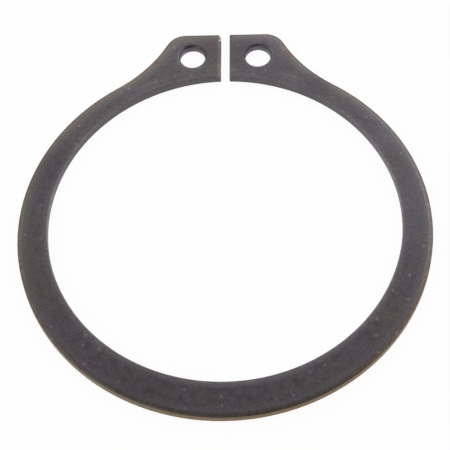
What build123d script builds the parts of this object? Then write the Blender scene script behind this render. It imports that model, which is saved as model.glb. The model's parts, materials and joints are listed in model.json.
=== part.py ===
from build123d import *
from math import isclose, sqrt
import os

# An external retaining ring, punched in one piece from spring steel strip and lying flat.
# Lengths are in millimetres. The origin is at the centre of the bore, on the underside.
# The gap between the two lugs points along +Y, and +Z is up through the thickness.

# The spring band lies between two circles. The outer one sits back from the gap, so the band
# is widest opposite the gap and tapers towards both lugs, which lets it open as a true circle.
bore_diameter = 38.5       # free state, for a 42 mm shaft
thickness = 1.0
widest_band = 4.0          # radial width opposite the gap
narrowest_band = 2.4       # width that the taper would reach at the gap

# The lugs
gap_width = 1.0
lug_height = 6.1           # from the bore to the flat top of the lugs
lug_flat_reach = 4.6       # from the centreline to the outer end of the flat top
lug_shoulder_radius = 2.35 # convex corner at the outer end of the flat top
lug_flank_radius = 16.5    # concave sweep from the shoulder down to the band

# The plier holes
hole_diameter = 2.9
wall_above_hole = 1.7      # metal left between a hole and the flat top
wall_beside_hole = 1.8     # metal left between a hole and the gap

# The punched edges. The punch draws the upper edge in round the outline and the gap, with a long
# radius at the face and a short one at the wall, while the bore and the underside stay crisp.
draw_in = 0.5              # how far the drawn-in edge reaches in from the outline
draw_down = 0.2            # how far it reaches down the wall
draw_radius = 0.1          # its short radius, at the wall
hole_roll = 0.3            # radius of the same edge round a plier hole, whose punch is small
bore_break = 0.04          # what tumbling takes off the bore's upper edge
underside_break = 0.04     # what it takes off the lower edges

# Damage: one lug has lost its corner at the top of the gap
clip_across = 0.3          # along the flat top
clip_down = 0.6            # down the gap

bore_radius = bore_diameter / 2
hole_radius = hole_diameter / 2
half_gap = gap_width / 2
lug_top = bore_radius + lug_height
outer_radius = bore_radius + (widest_band + narrowest_band) / 2
outer_centre = Vector(0, -(widest_band - narrowest_band) / 2)
gap_top = Vector(half_gap, lug_top)
gap_foot = Vector(half_gap, sqrt(bore_radius**2 - half_gap**2))
hole_place = Vector(half_gap + wall_beside_hole + hole_radius, lug_top - wall_above_hole - hole_radius)


def opposite(point):
    """The same place on the other lug."""
    return Vector(-point.X, point.Y)


def point_between(centre_a, reach_a, centre_b, reach_b):
    """The point at reach_a from centre_a and reach_b from centre_b, right of the line from a to b."""
    span = centre_b - centre_a
    along = (reach_a**2 - reach_b**2 + span.length**2) / (2 * span.length)
    aside = sqrt(reach_a**2 - along**2)
    ahead = span.normalized()
    return centre_a + ahead * along + Vector(ahead.Y, -ahead.X) * aside


def arc_about(centre, start, end):
    """The shorter arc about a centre, between two points of its circle."""
    towards_middle = ((start - centre) + (end - centre)).normalized()
    return ThreePointArc(start, centre + towards_middle * (start - centre).length, end)


def outline(start):
    """The punched outline, from a start on the right side of the gap, round the ring to the left side."""
    # The flank and the shoulder are arcs, tangent to the band, to each other and to the flat top
    shoulder = Vector(lug_flat_reach, lug_top - lug_shoulder_radius)
    flank = point_between(
        outer_centre, outer_radius + lug_flank_radius, shoulder, lug_shoulder_radius + lug_flank_radius
    )
    band_end = outer_centre + (flank - outer_centre).normalized() * outer_radius
    shoulder_end = shoulder + (flank - shoulder).normalized() * lug_shoulder_radius
    flat_start = Vector(lug_flat_reach, lug_top)

    with BuildLine() as line:
        Line(start, gap_top)
        Line(gap_top, flat_start)
        arc_about(shoulder, flat_start, shoulder_end)
        arc_about(flank, shoulder_end, band_end)
        mirror(about=Plane.YZ)
        ThreePointArc(band_end, outer_centre - Vector(0, outer_radius), opposite(band_end))
    return line.wire()


def ring_plan():
    """The face of the ring, with its two plier holes."""
    with BuildSketch() as plan:
        with BuildLine():
            add(outline(gap_foot))
            ThreePointArc(gap_foot, (0, -bore_radius), opposite(gap_foot))
        make_face()
        with Locations(hole_place, opposite(hole_place)):
            Circle(hole_radius, mode=Mode.SUBTRACT)
    return plan.sketch


def drawn_in_section(start):
    """What the punch takes off the upper edge, seen along the right wall of the gap."""
    # The long radius is the one whose arc is tangent to the face and to the short radius
    inset = draw_in - draw_radius
    drop = draw_down - draw_radius
    long_radius = draw_radius + (inset**2 + drop**2) / (2 * drop)
    long_centre = Vector(-draw_in, -long_radius)
    short_centre = Vector(-draw_radius, -draw_down)
    joint = short_centre + (short_centre - long_centre).normalized() * draw_radius
    face_end = Vector(-draw_in, 0)
    wall_end = Vector(0, -draw_down)
    clear = half_gap / 2       # the section goes on this far outside the metal

    across = Plane(origin=(start.X, start.Y, thickness), x_dir=(-1, 0, 0), z_dir=(0, 1, 0))
    with BuildSketch(across) as section:
        with BuildLine():
            arc_about(short_centre, wall_end, joint)
            arc_about(long_centre, joint, face_end)
            Polyline(face_end, (-draw_in, clear), (clear, clear), (clear, -draw_down), wall_end)
        make_face()
    return section.sketch


def is_bore(edge):
    """Whether an edge runs round the bore."""
    return edge.geom_type == GeomType.CIRCLE and isclose(edge.radius, bore_radius)


def clipped_corner():
    """The corner that one lug has lost."""
    with BuildSketch() as corner:
        with BuildLine():
            tip = opposite(gap_top)
            Polyline(tip, tip - Vector(clip_across, 0), tip - Vector(0, clip_down), close=True)
        make_face()
    return corner.sketch


def retaining_ring():
    """The ring as punched: a drawn-in upper edge, a crisp bore and crisp lower edges."""
    ring = extrude(ring_plan(), amount=thickness)
    ring = chamfer(ring.faces().sort_by(Axis.Z)[0].edges(), underside_break)
    ring = fillet(ring.faces().sort_by(Axis.Z)[-1].inner_wires().edges(), hole_roll)
    upper_edges = ring.faces().sort_by(Axis.Z)[-1].outer_wire().edges()
    ring = fillet(upper_edges.filter_by(is_bore), bore_break)

    # The drawn-in edge starts and ends inside the bore, so that it runs right out of the gap
    start = gap_foot - Vector(0, draw_in)
    path = outline(start).moved(Location((0, 0, thickness)))
    ring -= sweep(drawn_in_section(start), path=path, transition=Transition.RIGHT)
    return ring - extrude(clipped_corner(), amount=thickness)


os.makedirs("parts", exist_ok=True)
export_step(retaining_ring(), "parts/retaining_ring.step")
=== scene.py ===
import bpy
import json
from math import radians
from mathutils import Euler, Matrix, Vector
from mathutils.geometry import intersect_sphere_sphere_2d


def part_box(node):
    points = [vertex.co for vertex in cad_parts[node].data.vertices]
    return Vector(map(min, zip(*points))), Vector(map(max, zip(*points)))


# A phosphated and oiled spring steel retaining ring, lying on white paper in soft studio light.
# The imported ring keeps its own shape, so the work here is its finish, the light and the camera.

mm = 0.001

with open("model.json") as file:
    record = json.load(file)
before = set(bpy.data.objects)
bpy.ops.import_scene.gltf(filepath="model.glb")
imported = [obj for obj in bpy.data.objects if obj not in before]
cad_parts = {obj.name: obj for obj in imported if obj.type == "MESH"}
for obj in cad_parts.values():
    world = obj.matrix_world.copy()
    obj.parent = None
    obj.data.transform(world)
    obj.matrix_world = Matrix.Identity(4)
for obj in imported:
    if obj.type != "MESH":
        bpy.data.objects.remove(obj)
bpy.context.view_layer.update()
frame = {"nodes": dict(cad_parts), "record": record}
ring = frame["nodes"]["retaining_ring"]
ringLow, ringHigh = (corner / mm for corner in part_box("retaining_ring"))
mounts = {mount["name"]: mount for mount in frame["record"]["mounts"]}
print("frame loaded, ring of", len(ring.data.polygons), "triangles")


def hexColour(code):
    # sRGB hex to the linear RGBA that a socket takes
    channels = [int(code[i:i + 2], 16) / 255 for i in (1, 3, 5)]
    linear = [c / 12.92 if c <= 0.04045 else ((c + 0.055) / 1.055) ** 2.4 for c in channels]
    return (*linear, 1)


def addNode(tree, kind, inputs={}, **settings):
    # An input is a plain value, another node's socket, or a node, which stands for its first live output
    node = tree.nodes.new("ShaderNode" + kind)
    for name, value in settings.items():
        setattr(node, name, value)
    for key, value in inputs.items():
        if isinstance(key, int):
            socket = node.inputs[key]
        else:
            socket = next(s for s in node.inputs if s.enabled and s.name == key)
        if isinstance(value, bpy.types.Node):
            value = next(s for s in value.outputs if s.enabled)
        if isinstance(value, bpy.types.NodeSocket):
            tree.links.new(value, socket)
        else:
            socket.default_value = value
    return node


def newMaterial(name):
    # A material with an empty node tree
    material = bpy.data.materials.new(name)
    material.use_nodes = True
    material.node_tree.nodes.clear()
    return material


# Steel strip, punched, hardened, phosphated and oiled. Phosphate leaves a dark, slightly purple grey
# with olive clouds, matt under a thin oil sheen. Handling wears it thin beside the edges and rubs it
# brown along the outline, and the sheared outer walls are tan. Lengths are in mm.
ringLook = {
    # The lugs' curves, which the frame doesn't state
    "flankRadius": 16.5,        # concave sweep from the band up to a lug
    "shoulderRadius": 2.35,     # convex corner of a lug
    "shoulderBlend": 2.1,       # makes the smooth minimum pass the middle of that corner's arc
    "flatReach": 4.6,           # from the centreline to the end of a lug's flat top
    "halfGap": 0.5,

    "colours": {
        "coat": "#554F56",      # the faces
        "cloud": "#56534C",     # olive clouds in the coat
        "tint": "#5C4A4F",      # red-brown clouds
        "thickCoatAndShade": "#443F44",      # a darker tone: patches where the coat lies thick, darker places, and painted shade on the lugs and the holes' rims
        "worn": "#635D61",      # worn thin beside the edges
        "coolSheen": "#5F5D66",  # painted sheen, lighter and cooler, on the ring's right side
        "brownWorn": "#615952", # worn thin on its left side
        "plierRimLight": "#605C62",   # painted light on the plier holes' rims, lifting their shaded edges
        "boreRimHighlight": "#8A8286",  # painted highlight along the bore's rounded edge
        "rubbed": "#635950",    # rubbed through along the outline
        "rust": "#5F493D",      # brown stains on the rubbed edges
        "scratch": "#777276",   # fine lines that follow the bore
        "speck": "#8E898A",     # pale crystals
        "bare": "#B9B8BC",      # a fresh nick
        "landLow": "#7B623A",   # sheared outer wall, torn in its lower part
        "landHigh": "#705D44",  # and smooth in its upper part
        "boreWall": "#5C575B",  # the bore is punched cleaner and coated again
        "holeLow": "#7D7A82",   # a plier hole's wall, lower part
        "holeHigh": "#69666C",  # and upper part
    },

    # Noises in the coat: between which of its values each grows from nothing to its strength
    "noises": {
        "cloud": {"size": 3.2, "detail": 1.5, "twist": 0, "start": 0.45, "full": 0.65, "strength": 0.6},
        "tint": {"size": 4.5, "detail": 2, "twist": 0.6, "start": 0.5, "full": 0.66, "strength": 0.35},
        "patch": {"size": 0.9, "detail": 4, "twist": 0, "start": 0.54, "full": 0.32, "strength": 0.6},
        "rust": {"size": 1.1, "detail": 3, "twist": 0, "start": 0.53, "full": 0.66, "strength": 0.7},
    },

    # Fades: over which measure of ringMeasures each runs, where it starts and is full, how far the
    # noise moves its border, and its strength
    "fades": {
        "outerWear": {"over": "outer", "start": 1.25, "full": 0.2, "ragged": 0.9, "strength": 1},
        "gapWear": {"over": "gap", "start": 0.36, "full": 0.1, "ragged": 0, "strength": 1},
        "boreWear": {"over": "bore", "start": 0.8, "full": 0, "ragged": 0.4, "strength": 1},
        # where the painted light on the plier holes' rims lies
        "plierRimLightFade": {"over": "holes", "start": 0.4, "full": 0.2, "ragged": 0, "strength": 1},
        # where the painted highlight along the bore's edge lies
        "boreRimHighlight": {"over": "bore", "start": 0.2, "full": 0.05, "ragged": 0, "strength": 0.6},
        "rub": {"over": "outer", "start": 0.5, "full": 0.1, "ragged": 0.5, "strength": 1},
        "scratchStrip": {"over": "bore", "start": 2.2, "full": 1.2, "ragged": 0, "strength": 0.35},
        "outerSlope": {"over": "outer", "start": 1.2, "full": 0, "ragged": 0, "strength": 1},
        "boreSlope": {"over": "bore", "start": 1.0, "full": 0, "ragged": 0.5, "strength": 1},
        "onLeft": {"over": "around", "start": -20, "full": -34, "ragged": 0, "strength": 1},
        "onSides": {"over": "side", "start": 9, "full": 16, "ragged": 0, "strength": 1},
        "onLugs": {"over": "fromOpposite", "start": 46, "full": 52, "ragged": 0, "strength": 1},
        "stained": {"over": "fromStain", "start": 9, "full": 3.6, "ragged": 0, "strength": 0.5},
    },
    "stainMiddle": 16,          # of the stained stretch, round the bore from opposite the gap

    # Marks in one place each: stains, tints, darker places, nicks and a dent, and painted shade and sheen
    "marks": {
        "leftStain": {"colour": "rust", "x": -8.0, "y": 21.7, "radius": 0.7, "strength": 0.6},
        "rightStain": {"colour": "rust", "x": 7.5, "y": 22.4, "radius": 0.8, "strength": 0.6},
        "leftTint": {"colour": "tint", "x": -1.4, "y": 23.9, "radius": 0.6, "strength": 0.7},
        "rightTint": {"colour": "tint", "x": 1.2, "y": 23.4, "radius": 0.6, "strength": 0.7},
        "lowTint": {"colour": "tint", "x": 1.1, "y": 22.1, "radius": 0.5, "strength": 0.6},
        # Painted sheen, lighter and cooler, on the ring's right side
        "rightSideSheen": {"colour": "coolSheen", "x": 20.6, "y": 1.5, "radius": 8, "strength": 0.35},
        "upperRightSheen": {"colour": "coolSheen", "x": 17.9, "y": 10.3, "radius": 2.6, "strength": 0.45},
        "rightDeep": {"colour": "thickCoatAndShade", "x": 10.6, "y": 18.2, "radius": 2.8, "strength": 0.6},
        "nearDeep": {"colour": "thickCoatAndShade", "x": -8.0, "y": -19.6, "radius": 4.5, "strength": 0.2},
        # Painted shade over the middle of each lug
        "leftLugShade": {"colour": "thickCoatAndShade", "x": -1.9, "y": 22.9, "radius": 3.1, "strength": 0.65},
        "rightLugShade": {"colour": "thickCoatAndShade", "x": 2.1, "y": 22.4, "radius": 3.1, "strength": 0.65},
        "leftFlankDeep": {"colour": "thickCoatAndShade", "x": -6.4, "y": 19.8, "radius": 2.0, "strength": 0.35},
        "rightFlankDeep": {"colour": "thickCoatAndShade", "x": 6.2, "y": 20.4, "radius": 2.3, "strength": 0.42},
        "leftDeep": {"colour": "thickCoatAndShade", "x": -19.2, "y": 7.4, "radius": 4.6, "strength": 0.42},
        "leftSideOlive": {"colour": "cloud", "x": -20.8, "y": -5.0, "radius": 9, "strength": 0.25},
        "leftOlive": {"colour": "cloud", "x": -3.4, "y": 24.4, "radius": 1.3, "strength": 0.6},
        "leftHoleStain": {"colour": "rust", "x": -2.5, "y": 21.1, "radius": 0.4, "strength": 0.5},
        # Painted shade on the far rims of the plier holes
        "leftHoleShade": {"colour": "thickCoatAndShade", "x": -4.2, "y": 23.7, "radius": 0.6, "strength": 0.5},
        "rightHoleShade": {"colour": "thickCoatAndShade", "x": 4.4, "y": 23.7, "radius": 0.8, "strength": 0.6},
        "rightHoleStain": {"colour": "rubbed", "x": 3.5, "y": 20.6, "radius": 0.5, "strength": 0.5},
        "nick": {"colour": "bare", "x": -0.65, "y": 24.5, "radius": 0.15, "strength": 0.9},
        "dent": {"colour": "thickCoatAndShade", "x": -0.64, "y": 24.1, "radius": 0.13, "strength": 0.8},
        "lowNick": {"colour": "scratch", "x": -0.8, "y": 23.95, "radius": 0.12, "strength": 0.9},
    },
    "markCore": 0.2,            # the full middle of a mark, as a share of its radius
    "markRagged": 1,            # how far the noise moves its border, as a share of its radius

    "scratchSpacing": 0.2,
    "scratchLength": 8,
    "scratchStart": 0.58,       # values of its noise
    "scratchFull": 0.7,

    "speckSpacing": 1.8,
    "speckRadius": 0.24,
    "speckShare": 0.25,         # about eight on each square centimetre
    "speckStrength": 0.45,

    "wallStart": 0.6,           # how far up the normal points where a face turns into a wall
    "wallFull": 0.1,
    "boreWallReach": 0.2,       # from the bore or a hole, a wall this near is its own
    "holeWallReach": 0.3,
    "tearStart": 0.3,           # height at which the torn lower part of a wall turns smooth
    "tearFull": 0.5,
    "tearRagged": 0.3,
    "dragSpacing": 0.16,        # upright lines that the punch drags down the walls
    "dragStretch": 20,          # their length, as a multiple of their spacing
    "dragTone": 0.25,           # how much darker or lighter they are

    "grainSize": 0.25,          # the crystals are finer than 0.02, and drawn this coarse so that they show
    "grainStart": 0.25,         # values of its noise
    "grainFull": 0.75,
    "grainTone": 0.22,          # how much darker or lighter it is
    "grainHeight": 0.02,
    "grainBump": 0.3,
    "patchRelief": 0.4,         # height of the patches, as a share of the grain's

    "outerSlopeDrop": 0.028,    # the face falls away a little towards the outline
    "boreSlopeDrop": 0.04,      # and towards the bore
    "slopePower": 2,            # both falls get steeper towards the edge

    "metallic": 0.85,
    "faceRoughness": 0.34,
    "wallRoughness": 0.36,
    "roughnessSpread": 0.16,    # what the noise adds
    "oil": 0.12,
    "oilRoughness": 0.3,
    "oilIor": 1.47,
}


def ringMeasures(tree, place):
    # Distances in mm from the outline, the bore, the gap and the plier holes, positive in the metal,
    # and where round the ring a point is
    look = ringLook
    centre = Vector((0, ringLow.y + ringHigh.x))
    shoulder = Vector((look["flatReach"], ringHigh.y - look["shoulderRadius"]))
    bandReach = ringHigh.x + look["flankRadius"]
    lugReach = look["shoulderRadius"] + look["flankRadius"]
    flank = max(intersect_sphere_sphere_2d(centre, bandReach, shoulder, lugReach), key=lambda p: p.x)
    boreRadius = mounts["shaft_seat"]["dims"]["r_mm"]
    hole = mounts["plier_hole_right"]
    holePlace = Vector(hole["pos_m"]) / mm

    parts = addNode(tree, "SeparateXYZ", {"Vector": place})
    side = addNode(tree, "Math", {0: parts.outputs["X"]}, operation="ABSOLUTE")
    flat = addNode(tree, "CombineXYZ", {"X": parts.outputs["X"], "Y": parts.outputs["Y"]})
    folded = addNode(tree, "CombineXYZ", {"X": side, "Y": parts.outputs["Y"]})

    fromCentre = addNode(tree, "VectorMath", {0: flat, 1: (*centre, 0)}, operation="DISTANCE")
    band = addNode(tree, "Math", {0: ringHigh.x, 1: fromCentre}, operation="SUBTRACT")
    fromFlank = addNode(tree, "VectorMath", {0: folded, 1: (*flank, 0)}, operation="DISTANCE")
    flankEdge = addNode(tree, "Math", {0: fromFlank, 1: look["flankRadius"]}, operation="SUBTRACT")
    topEdge = addNode(tree, "Math", {0: ringHigh.y, 1: parts.outputs["Y"]}, operation="SUBTRACT")
    lug = addNode(tree, "Math", {0: topEdge, 1: flankEdge, 2: look["shoulderBlend"]},
                  operation="SMOOTH_MIN")
    # The lug begins on the line from the outer circle's centre to the flank's centre
    slope = (flank.y - centre.y) / flank.x
    lineHeight = addNode(tree, "Math", {0: side, 1: slope, 2: centre.y}, operation="MULTIPLY_ADD")
    inLug = addNode(tree, "Math", {0: parts.outputs["Y"], 1: lineHeight}, operation="GREATER_THAN")
    outer = addNode(tree, "Mix", {"Factor": inLug, "A": band, "B": lug}, data_type="FLOAT")

    fromAxis = addNode(tree, "VectorMath", {0: flat}, operation="LENGTH")
    bore = addNode(tree, "Math", {0: fromAxis, 1: boreRadius}, operation="SUBTRACT")
    fromHole = addNode(tree, "VectorMath", {0: folded, 1: (holePlace.x, holePlace.y, 0)},
                       operation="DISTANCE")
    holes = addNode(tree, "Math", {0: fromHole, 1: hole["dims"]["r_mm"]}, operation="SUBTRACT")
    fromGap = addNode(tree, "Math", {0: side, 1: look["halfGap"]}, operation="SUBTRACT")
    behind = addNode(tree, "Math", {0: 0, 1: parts.outputs["Y"]}, operation="SUBTRACT")
    gap = addNode(tree, "Math", {0: fromGap, 1: behind}, operation="MAXIMUM")

    # How far round the bore from opposite the gap, to the right and either way, and from the stains
    turn = addNode(tree, "Math", {0: parts.outputs["X"], 1: behind}, operation="ARCTAN2")
    around = addNode(tree, "Math", {0: turn, 1: boreRadius}, operation="MULTIPLY")
    fromOpposite = addNode(tree, "Math", {0: around}, operation="ABSOLUTE")
    pastStain = addNode(tree, "Math", {0: around, 1: look["stainMiddle"]}, operation="SUBTRACT")
    fromStain = addNode(tree, "Math", {0: pastStain}, operation="ABSOLUTE")
    return {
        "outer": outer,
        "bore": bore,
        "gap": gap,
        "holes": holes,
        "flat": flat,
        "side": side,
        "height": parts.outputs["Z"],
        "around": around,
        "fromOpposite": fromOpposite,
        "fromStain": fromStain,
    }


def springSteel():
    look = ringLook
    colours = {name: hexColour(code) for name, code in look["colours"].items()}
    material = newMaterial("phosphatedSpringSteel")
    tree = material.node_tree
    texture = addNode(tree, "TexCoord")
    place = addNode(tree, "Mapping", {
        "Vector": texture.outputs["Object"],
        "Scale": (1 / mm, 1 / mm, 1 / mm),
    })
    measures = ringMeasures(tree, place)

    # Walls face sideways, and the drawn-in edge turns from face to wall
    normal = addNode(tree, "SeparateXYZ", {"Vector": texture.outputs["Normal"]})
    upright = addNode(tree, "Math", {0: normal.outputs["Z"]}, operation="ABSOLUTE")
    wall = addNode(tree, "MapRange", {
        "Value": upright,
        "From Min": look["wallStart"],
        "From Max": look["wallFull"],
    }, interpolation_type="SMOOTHSTEP")

    # The coat: olive and brown clouds, patches where it lies thick, and brown spots
    noises = {}
    shares = {}
    for name, noise in look["noises"].items():
        noises[name] = addNode(tree, "TexNoise", {
            "Vector": place,
            "Scale": 1 / noise["size"],
            "Detail": noise["detail"],
            "Distortion": noise["twist"],
        })
        shares[name] = addNode(tree, "MapRange", {
            "Value": noises[name],
            "From Min": noise["start"],
            "From Max": noise["full"],
            "To Max": noise["strength"],
        })

    # Strips beside the edges and stretches of the ring. The patches make their borders ragged
    fades = {}
    for name, fade in look["fades"].items():
        border = addNode(tree, "Math", {
            0: noises["patch"],
            1: fade["ragged"],
            2: measures[fade["over"]],
        }, operation="MULTIPLY_ADD")
        fades[name] = addNode(tree, "MapRange", {
            "Value": border,
            "From Min": fade["start"] + fade["ragged"] / 2,
            "From Max": fade["full"] + fade["ragged"] / 2,
            "To Max": fade["strength"],
        })
    fades["rub"].interpolation_type = "SMOOTHSTEP"

    # Worn thin beside the outline, the gap and the bore, and browner on the left
    outerWear = addNode(tree, "Math", {0: fades["outerWear"], 1: fades["gapWear"]}, operation="MAXIMUM")
    wear = addNode(tree, "Math", {0: outerWear, 1: fades["boreWear"]}, operation="MAXIMUM")
    brownWear = addNode(tree, "Math", {0: outerWear, 1: fades["onLeft"]}, operation="MULTIPLY")
    # A painted highlight along the bore's edge, on the ring's sides
    boreRimHighlight = addNode(tree, "Math", {0: fades["boreRimHighlight"], 1: fades["onSides"]}, operation="MULTIPLY")

    # Rubbed along the outline, and stained there in spots and in one stretch
    rust = addNode(tree, "Math", {0: shares["rust"], 1: fades["stained"]}, operation="MAXIMUM")
    rust = addNode(tree, "Math", {0: rust, 1: fades["rub"]}, operation="MULTIPLY")

    # Fine lines on the lugs that follow the bore
    alongBore = addNode(tree, "CombineXYZ", {"X": measures["bore"], "Y": measures["around"]})
    scratchPlace = addNode(tree, "Mapping", {
        "Vector": alongBore,
        "Scale": (1 / look["scratchSpacing"], 1 / look["scratchLength"], 1),
    })
    scratchNoise = addNode(tree, "TexNoise", {"Vector": scratchPlace, "Scale": 1, "Detail": 1},
                           noise_dimensions="2D")
    scratchLine = addNode(tree, "MapRange", {
        "Value": scratchNoise,
        "From Min": look["scratchStart"],
        "From Max": look["scratchFull"],
    })
    scratch = addNode(tree, "Math", {0: scratchLine, 1: fades["scratchStrip"]}, operation="MULTIPLY")
    scratch = addNode(tree, "Math", {0: scratch, 1: fades["onLugs"]}, operation="MULTIPLY")

    # Pale specks, in a few cells of an uneven grid
    speckCell = addNode(tree, "TexVoronoi", {
        "Vector": measures["flat"],
        "Scale": 1 / look["speckSpacing"],
    }, voronoi_dimensions="2D")
    speckDot = addNode(tree, "MapRange", {
        "Value": speckCell.outputs["Distance"],
        "From Min": look["speckRadius"] / look["speckSpacing"],
        "From Max": 0,
        "To Max": look["speckStrength"],
    })
    speckPick = addNode(tree, "SeparateColor", {"Color": speckCell.outputs["Color"]})
    speckFew = addNode(tree, "Math", {0: speckPick, 1: 1 - look["speckShare"]}, operation="GREATER_THAN")
    speck = addNode(tree, "Math", {0: speckDot, 1: speckFew}, operation="MULTIPLY")

    # The face's colours, each laid over those before it
    layers = {
        "cloud": shares["cloud"],
        "tint": shares["tint"],
        "thickCoatAndShade": shares["patch"],
        "worn": wear,
        "brownWorn": brownWear,
        # Painted light on the plier holes' rims
        "plierRimLight": fades["plierRimLightFade"],
        "boreRimHighlight": boreRimHighlight,
        "rubbed": fades["rub"],
        "rust": rust,
        "scratch": scratch,
        "speck": speck,
    }
    face = colours["coat"]
    for name, share in layers.items():
        face = addNode(tree, "Mix", {"Factor": share, "A": face, "B": colours[name]}, data_type="RGBA")

    # The sheared walls, each group with its own tone, with drag lines down them
    dragPlace = addNode(tree, "Mapping", {"Vector": place, "Scale": (1, 1, 1 / look["dragStretch"])})
    dragNoise = addNode(tree, "TexNoise", {
        "Vector": dragPlace,
        "Scale": 1 / look["dragSpacing"],
        "Detail": 2,
    })
    tearLine = addNode(tree, "Math", {0: dragNoise, 1: look["tearRagged"], 2: measures["height"]},
                       operation="MULTIPLY_ADD")
    smooth = addNode(tree, "MapRange", {
        "Value": tearLine,
        "From Min": look["tearStart"] + look["tearRagged"] / 2,
        "From Max": look["tearFull"] + look["tearRagged"] / 2,
    })
    outerWall = addNode(tree, "Mix", {
        "Factor": smooth,
        "A": colours["landLow"],
        "B": colours["landHigh"],
    }, data_type="RGBA")
    holeWall = addNode(tree, "Mix", {
        "Factor": smooth,
        "A": colours["holeLow"],
        "B": colours["holeHigh"],
    }, data_type="RGBA")
    nearBore = addNode(tree, "Math", {0: measures["bore"], 1: look["boreWallReach"]},
                       operation="LESS_THAN")
    nearHole = addNode(tree, "Math", {0: measures["holes"], 1: look["holeWallReach"]},
                       operation="LESS_THAN")
    wallTone = addNode(tree, "Mix", {"Factor": nearBore, "A": outerWall, "B": colours["boreWall"]},
                       data_type="RGBA")
    wallTone = addNode(tree, "Mix", {"Factor": nearHole, "A": wallTone, "B": holeWall},
                       data_type="RGBA")
    dragTone = addNode(tree, "MapRange", {
        "Value": dragNoise,
        "To Min": 1 - look["dragTone"],
        "To Max": 1 + look["dragTone"],
    })
    wallTone = addNode(tree, "Mix", {"Factor": 1, "A": wallTone, "B": dragTone}, data_type="RGBA",
                       blend_type="MULTIPLY")
    colour = addNode(tree, "Mix", {"Factor": wall, "A": face, "B": wallTone}, data_type="RGBA")

    # Stains, tints, darker places, painted shade and sheen, two nicks and a dent, each round but ragged
    for mark in look["marks"].values():
        ragged = mark["radius"] * look["markRagged"]
        spot = addNode(tree, "VectorMath", {0: measures["flat"], 1: (mark["x"], mark["y"], 0)},
                       operation="DISTANCE")
        border = addNode(tree, "Math", {0: noises["patch"], 1: ragged, 2: spot},
                         operation="MULTIPLY_ADD")
        share = addNode(tree, "MapRange", {
            "Value": border,
            "From Min": mark["radius"] + ragged / 2,
            "From Max": mark["radius"] * look["markCore"] + ragged / 2,
            "To Max": mark["strength"],
        })
        colour = addNode(tree, "Mix", {"Factor": share, "A": colour, "B": colours[mark["colour"]]},
                         data_type="RGBA")

    # Fine grain in the tone, and an uneven sheen
    grainNoise = addNode(tree, "TexNoise", {"Vector": place, "Scale": 1 / look["grainSize"], "Detail": 2})
    grainTone = addNode(tree, "MapRange", {
        "Value": grainNoise,
        "From Min": look["grainStart"],
        "From Max": look["grainFull"],
        "To Min": 1 - look["grainTone"],
        "To Max": 1 + look["grainTone"],
    })
    colour = addNode(tree, "Mix", {"Factor": 1, "A": colour, "B": grainTone}, data_type="RGBA",
                     blend_type="MULTIPLY")
    roughness = addNode(tree, "Mix", {
        "Factor": wall,
        "A": look["faceRoughness"],
        "B": look["wallRoughness"],
    }, data_type="FLOAT")
    roughness = addNode(tree, "Math", {0: noises["patch"], 1: look["roughnessSpread"], 2: roughness},
                        operation="MULTIPLY_ADD")

    # The slopes beside the bore and the outline, under the grain, the patches and the drag lines
    boreSlope = addNode(tree, "Math", {0: fades["boreSlope"], 1: look["slopePower"]}, operation="POWER")
    boreFall = addNode(tree, "Math", {0: boreSlope, 1: -look["boreSlopeDrop"]}, operation="MULTIPLY")
    outerSlope = addNode(tree, "Math", {0: fades["outerSlope"], 1: look["slopePower"]},
                         operation="POWER")
    fall = addNode(tree, "Math", {0: outerSlope, 1: -look["outerSlopeDrop"], 2: boreFall},
                   operation="MULTIPLY_ADD")
    slopeBump = addNode(tree, "Bump", {"Height": fall, "Strength": 1, "Distance": mm})
    relief = addNode(tree, "Math", {0: noises["patch"], 1: look["patchRelief"], 2: grainNoise},
                     operation="MULTIPLY_ADD")
    relief = addNode(tree, "Mix", {"Factor": wall, "A": relief, "B": dragNoise}, data_type="FLOAT")
    bump = addNode(tree, "Bump", {
        "Height": relief,
        "Normal": slopeBump,
        "Strength": look["grainBump"],
        "Distance": look["grainHeight"] * mm,
    })

    steel = addNode(tree, "BsdfPrincipled", {
        "Base Color": colour,
        "Metallic": look["metallic"],
        "Roughness": roughness,
        "Normal": bump,
        "Coat Weight": look["oil"],
        "Coat Roughness": look["oilRoughness"],
        "Coat IOR": look["oilIor"],
    })
    addNode(tree, "OutputMaterial", {"Surface": steel})
    return material


for slot in ring.material_slots:
    slot.material = springSteel()
print("steel finish on", ring.name)

# White paper. What the camera and the steel see of it is mostly its own even white, and the rest takes
# light and shade, so the ring keeps a faint shadow. From below it is clear, so the underside can be seen.
paperLook = {
    "size": 3.0,                # metres
    "drop": 0.01,               # mm under the ring
    "colour": "#F1F1F0",
    "evenWhite": 0.95,          # share of its own white
}


def whitePaper():
    look = paperLook
    material = newMaterial("whitePaper")
    tree = material.node_tree
    rays = addNode(tree, "LightPath")
    seen = addNode(tree, "Math", {0: rays.outputs["Is Camera Ray"], 1: rays.outputs["Is Glossy Ray"]},
                   operation="MAXIMUM")
    seen = addNode(tree, "Math", {0: seen, 1: rays.outputs["Is Transmission Ray"]}, operation="MAXIMUM")
    share = addNode(tree, "Math", {0: seen, 1: look["evenWhite"]}, operation="MULTIPLY")
    matt = addNode(tree, "BsdfDiffuse", {"Color": hexColour(look["colour"])})
    even = addNode(tree, "Emission", {"Color": (1, 1, 1, 1), "Strength": 1})
    paper = addNode(tree, "MixShader", {0: share, 1: matt, 2: even})

    geometry = addNode(tree, "NewGeometry")
    fromBelow = addNode(tree, "Math", {
        0: geometry.outputs["Backfacing"],
        1: rays.outputs["Is Camera Ray"],
    }, operation="MULTIPLY")
    clear = addNode(tree, "BsdfTransparent")
    sheet = addNode(tree, "MixShader", {0: fromBelow, 1: paper, 2: clear})
    addNode(tree, "OutputMaterial", {"Surface": sheet})
    return material


bpy.ops.object.select_all(action="DESELECT")
bpy.ops.mesh.primitive_plane_add(size=paperLook["size"], location=(0, 0, -paperLook["drop"] * mm))
floor = bpy.context.object
floor.name = "paperFloor"
floor.data.materials.append(whitePaper())
print("paper floor laid")

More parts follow.
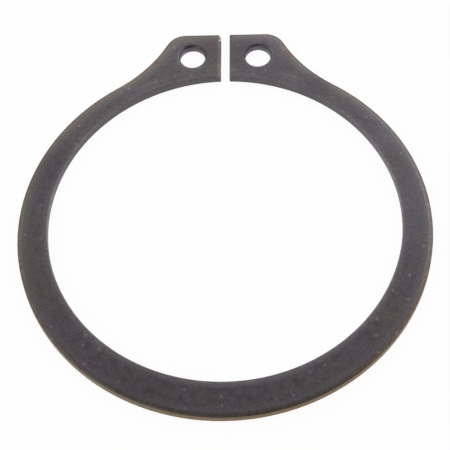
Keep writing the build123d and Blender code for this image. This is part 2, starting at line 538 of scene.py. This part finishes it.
# An even room light and five softboxes: a big one behind the ring and a little to the right, a wide one
# low behind it as a pale backdrop, one at each side and a small one at the near left
lightLook = {
    "roomColour": "#FFFFFF",
    "roomStrength": 0.216,
    "boxDistance": 500,         # mm
    "boxes": {                  # degrees right of straight behind and above the floor, then mm and watts
        "backBox": {"turn": 12, "height": 40, "width": 660, "depth": 250,
                    "power": 1.26, "colour": "#FFFFFF"},
        "lowBox": {"turn": 0, "height": 12, "width": 900, "depth": 200,
                   "power": 0.42, "colour": "#FFFFFF"},
        "leftBox": {"turn": -66, "height": 38, "width": 500, "depth": 260,
                    "power": 0.58, "colour": "#FFFFFF"},
        "rightBox": {"turn": 78, "height": 42, "width": 480, "depth": 280,
                     "power": 0.64, "colour": "#FFFDFA"},
        "nearBox": {"turn": -135, "height": 30, "width": 260, "depth": 260,
                    "power": 0.7, "colour": "#FFFFFF"},
    },
}

world = bpy.data.worlds.new("room")
world.use_nodes = True
room = world.node_tree.nodes["Background"]
room.inputs["Color"].default_value = hexColour(lightLook["roomColour"])
room.inputs["Strength"].default_value = lightLook["roomStrength"]
bpy.context.scene.world = world

for name, box in lightLook["boxes"].items():
    boxAim = Euler((radians(box["height"]), 0, radians(-box["turn"])))
    boxPlace = boxAim.to_matrix() @ Vector((0, lightLook["boxDistance"] * mm, 0))
    bpy.ops.object.light_add(type="AREA", location=boxPlace)
    softbox = bpy.context.object
    softbox.name = name
    softbox.rotation_euler = (-boxPlace).to_track_quat("-Z", "Y").to_euler()
    softbox.data.shape = "RECTANGLE"
    softbox.data.size = box["width"] * mm
    softbox.data.size_y = box["depth"] * mm
    softbox.data.energy = box["power"]
    softbox.data.color = hexColour(box["colour"])[:3]
print("softboxes hung")

# The photograph looks down at the ring from the near side, close up through a long lens
cameraLook = {
    "azimuth": 4.01,            # degrees
    "elevation": 58.767,
    "roll": -4.41,
    "distance": 182.9 * mm,
    "aim": (0.031 * mm, 0.065 * mm, 0),
    "lens": 134.51,             # mm, and the sensor too
    "sensor": 36,
    "clipStart": 0.01,          # metres
    "clipEnd": 20,
}

bpy.ops.object.camera_add()
camera = bpy.context.object
camera.name = "photoCamera"
camera.data.lens = cameraLook["lens"]
camera.data.sensor_width = cameraLook["sensor"]
camera.data.clip_start = cameraLook["clipStart"]
camera.data.clip_end = cameraLook["clipEnd"]
tilt = Euler((radians(90 - cameraLook["elevation"]), 0, radians(cameraLook["azimuth"])))
turn = tilt.to_matrix().to_4x4() @ Matrix.Rotation(radians(cameraLook["roll"]), 4, "Z")
standOff = Matrix.Translation((0, 0, cameraLook["distance"]))
camera.matrix_world = Matrix.Translation(cameraLook["aim"]) @ turn @ standOff
bpy.context.scene.camera = camera
bpy.context.scene.view_settings.view_transform = "Standard"
print("camera set")
